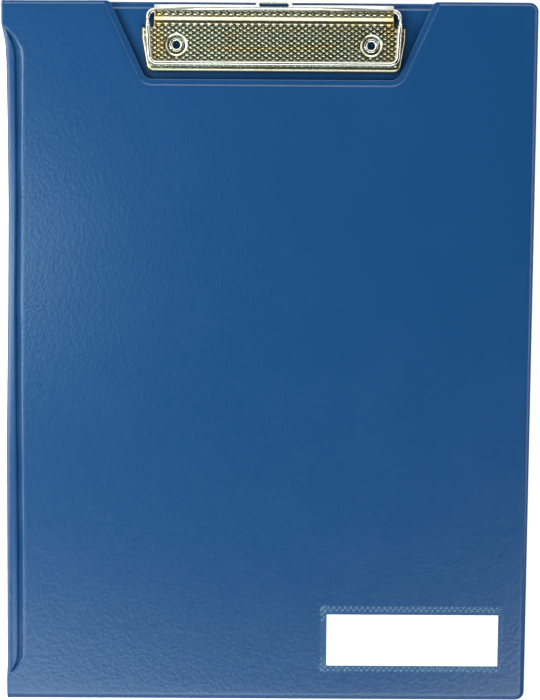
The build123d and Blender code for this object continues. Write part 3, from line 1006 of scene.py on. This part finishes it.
baseLook = {
    "halfWidth": jawLook["neckHalf"],
    "sheet": 0.7,
    "curlRadius": 2.63,     # outside of the curl round the jaw's rolled edge
    "curlEnd": 84,          # degrees, from the rear over the top
    "front": 23.0,          # front edge, in front of the pivot
    "bossHole": 3.4,        # the plate's edge under each boss
    # closed outline of a boss, dished towards its rivet: radius, height
    "boss": [(4.1, 3.35), (3.92, 3.6), (3.87, 4.0), (3.87, 6.05), (3.84, 6.16), (3.76, 6.2), (3.62, 6.17),
             (3.4, 6.09), (3.2, 6.01), (3.0, 5.94), (2.05, 5.93), (2.05, 5.3), (2.9, 5.3), (3.2, 5.0),
             (3.2, 3.3), (3.3, 2.9), (4.1, 2.8)],
    # hanging tab: distance behind the pivot, height above it; half width at the root and the tip
    "tab": [(0.9, 2.25), (1.7, 2.05), (2.6, 1.75), (3.6, 1.4), (5.0, 0.9), (6.3, 0.42)],
    "tabHalf": (8.75, 5.75),
    "tabReach": 6.3,
    "tabShoulder": 1.2,     # straight sides before it narrows
    "tabGrid": (40, 16),
    "plateRadius": 1.5,     # front corners of the plate
    "slotHalf": (6.65, 0.9),
    "slotPlace": 2.6,
}


def stadium(centre, half, steps):
    # outline of a slot with round ends
    points = []
    for side in (1, -1):
        for i in range(steps + 1):
            turn = side * pi / 2 - pi * i / steps
            middle = Vector((centre.x + side * (half[0] - half[1]), centre.y))
            points.append(middle + half[1] * Vector((cos(turn), sin(turn))))
    return points


def addCurl(mesh):
    # rear edge curled over the jaw's roll, open where the slot is
    radius, slotHalf = baseLook["curlRadius"], baseLook["slotHalf"][0]
    half = baseLook["halfWidth"]
    columns = [clipX - half, clipX - slotHalf, clipX + slotHalf, clipX + half]
    rows = []
    for i in range(34):
        turn = radians(lerp(-90, baseLook["curlEnd"], i / 33))
        y, z = pivot.y + radius * cos(turn), pivot.z + radius * sin(turn)
        rows.append([mesh.point(x, y, z) for x in columns])
    slotFront = baseLook["slotPlace"] - baseLook["slotHalf"][1]
    for lower, upper in zip(rows, rows[1:]):
        behind = min(mesh.points[lower[0]][1], mesh.points[upper[0]][1]) / mm - pivot.y
        for i in range(3):
            if i != 1 or behind < slotFront:
                mesh.face([lower[i + 1], lower[i], upper[i], upper[i + 1]])
    return rows[0]


def addPlate(mesh, rear):
    # flat plate under the jaw with a hole for each boss; it faces down
    front, half = pivot.y - baseLook["front"], baseLook["halfWidth"]
    low = pivot.z - baseLook["curlRadius"]
    corners = [Vector((clipX + x, y))
               for x, y in ((half, pivot.y), (half, front), (-half, front), (-half, pivot.y))]
    path = roundedPath(corners, [baseLook["plateRadius"]] * 2, 8, [6, 12, 6])
    outline = [mesh.point(p.x, p.y, low) for p in path[1:-1]]
    rings = [circle(mesh, centre, baseLook["bossHole"], low, 48) for centre in holeLook["centres"]]
    mesh.fill([rear[::-1] + outline] + rings, [], lambda x, y: low, upward=False)


def addTab(mesh):
    look = baseLook
    root, tip = look["tabHalf"]
    start, end = pivot.y + look["tab"][0][0], pivot.y + look["tabReach"]
    narrow = start + look["tabShoulder"]
    corners = [Vector((clipX + x, y)) for x, y in (
        (-root, start), (-root, narrow), (-tip, end), (tip, end), (root, narrow), (root, start))]
    height = lambda x, y: pivot.z + eased(look["tab"], y - pivot.y, 0.4)
    make = lambda p: mesh.point(p.x, p.y, height(p.x, p.y))
    outline = [make(p) for p in roundedPath(corners, [0.8, 1.6, 1.6, 0.8], 8, [3, 10, 16, 10, 3])]
    slot = [make(p) for p in stadium(Vector((clipX, pivot.y + look["slotPlace"])), look["slotHalf"], 12)]
    inner = []
    across, along = look["tabGrid"]
    for i in range(1, across):
        for j in range(1, along):
            p = Vector((clipX - root + 2 * root * i / across, lerp(start, end, j / along)))
            wide = lerp(root, tip, max(p.y - start - look["tabShoulder"], 0) / (end - narrow))
            past = max(abs(p.x - clipX) - look["slotHalf"][0] + look["slotHalf"][1], 0)
            off = hypot(past, p.y - pivot.y - look["slotPlace"])
            if abs(p.x - clipX) < wide - 0.3 and off > look["slotHalf"][1] + 0.2:
                inner.append(p)
    mesh.fill([outline, slot], inner, height)


def makeBasePlate():
    mesh = Builder()
    addPlate(mesh, addCurl(mesh))
    tab = Builder()
    addTab(tab)
    plate = mesh.build("basePlate", nickelSheet, 40)
    tongue = tab.build("hangingTab", nickelSheet, 40)
    for piece in (plate, tongue):
        thicken(piece, baseLook["sheet"])
        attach(piece, "back_cover")
        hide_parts("clip_base_plate")


makeBasePlate()
print("base plate made")

rivetLook = {
    # closed outline: radius, height
    "section": [(1.4, 0.35), (3.0, 0.35), (3.0, 0.8), (2.0, 0.82), (2.0, 6.0), (3.2, 6.0), (3.3, 6.15),
                (3.32, 6.4), (3.27, 6.62), (3.17, 6.8), (3.02, 6.92), (2.84, 6.99), (2.66, 7.03),
                (2.5, 7.04), (2.38, 7.03), (2.2, 6.97), (2.02, 6.88), (1.87, 6.76), (1.76, 6.6),
                (1.67, 6.35), (1.56, 6.0), (1.47, 5.6), (1.4, 5.2)],
    "turns": 72,
}


def makeTurned(name, centre, section, material, node):
    # closed outline turned round the rivet's axis
    mesh = Builder()
    rings = [circle(mesh, centre, radius, height, rivetLook["turns"]) for radius, height in section]
    mesh.bands(rings + rings[:1], closed=True)
    piece = mesh.build(name, material, 50)
    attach(piece, "back_cover")
    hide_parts(node)


for side, centre in zip(rivetBox, holeLook["centres"]):
    makeTurned("rivet_" + side + "Rolled", centre, rivetLook["section"], nickelWire, "rivet_" + side)
    makeTurned("boss_" + side, centre, baseLook["boss"], nickelSheet, "clip_base_plate")
print("rivets made")


# Label pocket

def spread(start, end, cell):
    count = max(int((end - start) / cell), 1)
    return [lerp(start, end, i / count) for i in range(count)]


def dotAt(along, across, fromEnd):
    # share of a welded dot's height; across is the distance in from the film's edge
    look = filmLook
    row = round((across - look["edge"]) / look["rowPitch"])
    if row not in (0, 1):
        return 0.0
    shift = look["dotPitch"] / 2 if row else 0
    offAlong = (along + shift) % look["dotPitch"] - look["dotPitch"] / 2
    off = hypot(offAlong, across - look["edge"] - row * look["rowPitch"]) / look["dotRadius"]
    return (1 - off * off) * fromEnd if off < 1 else 0.0


def makePocketFilm():
    look = filmLook
    low, high = nodeBox("label_pocket_film")
    cardLow, cardHigh = nodeBox("label_card")
    xs = spread(low.x, cardLow.x + 0.4, look["cell"]) + spread(cardLow.x + 0.4, high.x, look["cell"])
    xs.append(high.x)
    dotless = (high.y - low.y) / 2 - look["endDots"] - look["dotFade"]      # to each side of the middle
    middle = (low.y + high.y) / 2
    lowEnd, highEnd = middle - dotless, middle + dotless
    ys = spread(low.y, lowEnd, look["cell"]) + spread(lowEnd, highEnd, look["openCell"])
    ys += spread(highEnd, high.y, look["cell"]) + [high.y]
    flat = low.z + look["sheet"] + 0.02
    raised = cardHigh.z + look["cover"]
    mesh = Builder()
    frost = []
    rows = []
    for y in ys:
        row = []
        for x in xs:
            gap = max(cardLow.x - x, cardLow.y - y, y - cardHigh.y)
            rise = 1 - smoothStep(gap, *look["slope"])
            mouth = 1 - smoothStep(x, cardHigh.x - 0.2, cardHigh.x + 0.4)
            ends = smoothStep(abs(y - middle), dotless, dotless + look["dotFade"])
            dot = max(dotAt(x - low.x, high.y - y, mouth), dotAt(x - low.x, y - low.y, mouth),
                      dotAt(y - low.y, x - low.x, ends)) * (1 - smoothStep(rise, 0.0, 0.3))
            row.append(mesh.point(x, y, lerp(flat, raised, rise) + look["dotRise"] * dot))
            frost.append(min(1.6 * dot, 1.0))
        rows.append(row)
    mesh.bands(rows)
    piece = mesh.build("pocketFilm", clearFilm)
    marks = piece.data.attributes.new("frost", "FLOAT", "POINT")
    marks.data.foreach_set("value", frost)
    thicken(piece, look["sheet"])
    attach(piece, "front_cover")
    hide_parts("label_pocket_film")


makePocketFilm()
print("label pocket made")


# Carried-over pieces

nodeLooks = {
    "label_card": whiteCard,
    "inside_pocket": vinyl, "wire_bail": nickelWire,
    "rivet_washer_left": nickelSheet, "rivet_washer_right": nickelSheet,
}
for name, look in nodeLooks.items():
    piece = frame["nodes"][name]
    piece.data.materials.clear()
    piece.data.materials.append(look)


# Floor, lights and camera

stageLook = {
    "floorSize": 8.0,       # metres
    "drop": 0.0002,         # floor's top below the part's resting face, metres
    "floorColour": (0.8, 0.8, 0.8, 1.0),
    "glow": 0.62,           # what the camera sees of the floor on top of its own light
    "wall": 0.4,            # strength of the studio's walls and of its ceiling
    "ceiling": 0.01,
    "wallColour": (0.95, 0.98, 1.0, 1.0),
    "wallFade": (0.62, 0.85),       # sine of the height where the wall starts and stops fading
}


def makeFloor():
    half = stageLook["floorSize"] / 2
    mesh = bpy.data.meshes.new("floor")
    corners = [(-half, -half, 0), (half, -half, 0), (half, half, 0), (-half, half, 0)]
    mesh.from_pydata(corners, [], [(0, 1, 2, 3)])
    floor = addObject("floor", mesh)
    floor.location.z = -stageLook["drop"]
    material, tree, shader = startMaterial("paleFloor")
    shader.inputs["Base Color"].default_value = stageLook["floorColour"]
    shader.inputs["Roughness"].default_value = 0.9
    shader.inputs["Specular IOR Level"].default_value = 0.0
    path = nodeIn(tree, "ShaderNodeLightPath").outputs
    seen = mathIn(tree, "MAXIMUM", path["Is Camera Ray"], path["Is Glossy Ray"])
    shown = mathIn(tree, "MAXIMUM", seen, path["Is Transmission Ray"])
    shader.inputs["Emission Color"].default_value = (1.0, 1.0, 1.0, 1.0)
    tree.links.new(mathIn(tree, "MULTIPLY", shown, stageLook["glow"]), shader.inputs["Emission Strength"])
    mesh.materials.append(material)


def makeWorld():
    # a pale band of studio wall round the object, dark overhead
    world = bpy.data.worlds.new("studio")
    world.use_nodes = True
    tree = world.node_tree
    direction = nodeIn(tree, "ShaderNodeTexCoord").outputs["Generated"]
    parts = nodeIn(tree, "ShaderNodeSeparateXYZ", {"Vector": direction})
    strength = rangeIn(tree, parts.outputs["Z"], *stageLook["wallFade"], stageLook["wall"],
                       stageLook["ceiling"], smooth=True)
    background = tree.nodes["Background"]
    background.inputs["Color"].default_value = stageLook["wallColour"]
    tree.links.new(strength, background.inputs["Strength"])
    bpy.context.scene.world = world


lamps = {
    # place (m), target (m), width and height (m), watts, colour
    "stripLeft": ((-0.49, -0.068, 1.0), (0.0, 0.0, 0.0), (0.14, 0.58), 2.0, (0.64, 0.92, 1.0)),
    "panelFrontLeft": ((-0.225, -0.57, 1.0), (0.0, 0.0, 0.0), (0.55, 0.3), 2.8, (0.76, 0.95, 1.0)),
    "panelFrontRight": ((0.3, -0.57, 1.0), (0.0, 0.0, 0.0), (0.5, 0.3), 2.0, (0.92, 1.0, 1.0)),
    "windowLeft": ((-0.58, 0.15, 0.5), (-0.08, 0.15, 0.0), (1.2, 0.3), 4.7, (1.0, 1.0, 1.0)),
    "windowGlint": ((-0.58, 0.03, 0.5), (-0.08, 0.03, 0.0), (0.12, 0.3), 2.4, (1.0, 1.0, 1.0)),
    "stripRight": ((1.0, 0.3, 0.95), (0.0, 0.1, 0.0), (1.5, 0.3), 3.8, (1.0, 1.0, 1.0)),
    "stripBack": ((0.0, 0.9, 0.75), (0.0, 0.1, 0.0), (1.2, 0.35), 4.5, (1.0, 1.0, 1.0)),
    "stripFront": ((0.0, -1.0, 0.75), (0.0, -0.1, 0.0), (1.2, 0.3), 1.8, (1.0, 1.0, 1.0)),
}


def makeLamps():
    for name, (place, target, size, watts, colour) in lamps.items():
        light = bpy.data.lights.new(name, "AREA")
        light.shape = "RECTANGLE"
        light.size, light.size_y = size
        light.energy = watts
        light.color = colour
        lamp = addObject(name, light)
        lamp.location = place
        lamp.rotation_euler = (Vector(target) - Vector(place)).to_track_quat("-Z", "Y").to_euler()


cameraLook = {
    "place": (-5.06, 131.8, 1000.0),            # mm
    "tilt": (-0.1286, -0.0053, 0.0060),         # radians about X, Y and Z, from looking straight down
    "focalPixels": 2204.4,
    "imageHeight": 700,
    "sensor": 24.0,
}


def makeCamera():
    data = bpy.data.cameras.new("camera")
    data.sensor_fit = "VERTICAL"
    data.sensor_height = cameraLook["sensor"]
    data.lens = cameraLook["focalPixels"] * cameraLook["sensor"] / cameraLook["imageHeight"]
    data.clip_end = 50
    camera = addObject("camera", data)
    camera.location = Vector(cameraLook["place"]) * mm
    tiltX, tiltY, tiltZ = cameraLook["tilt"]
    turns = [Euler(turn).to_matrix() for turn in ((0, 0, tiltZ), (tiltX, 0, 0), (0, tiltY, 0))]
    camera.rotation_euler = (turns[0] @ turns[1] @ turns[2]).to_euler()
    bpy.context.scene.camera = camera


makeFloor()
makeWorld()
makeLamps()
makeCamera()
bpy.context.scene.view_settings.view_transform = "Standard"
print("stage made")
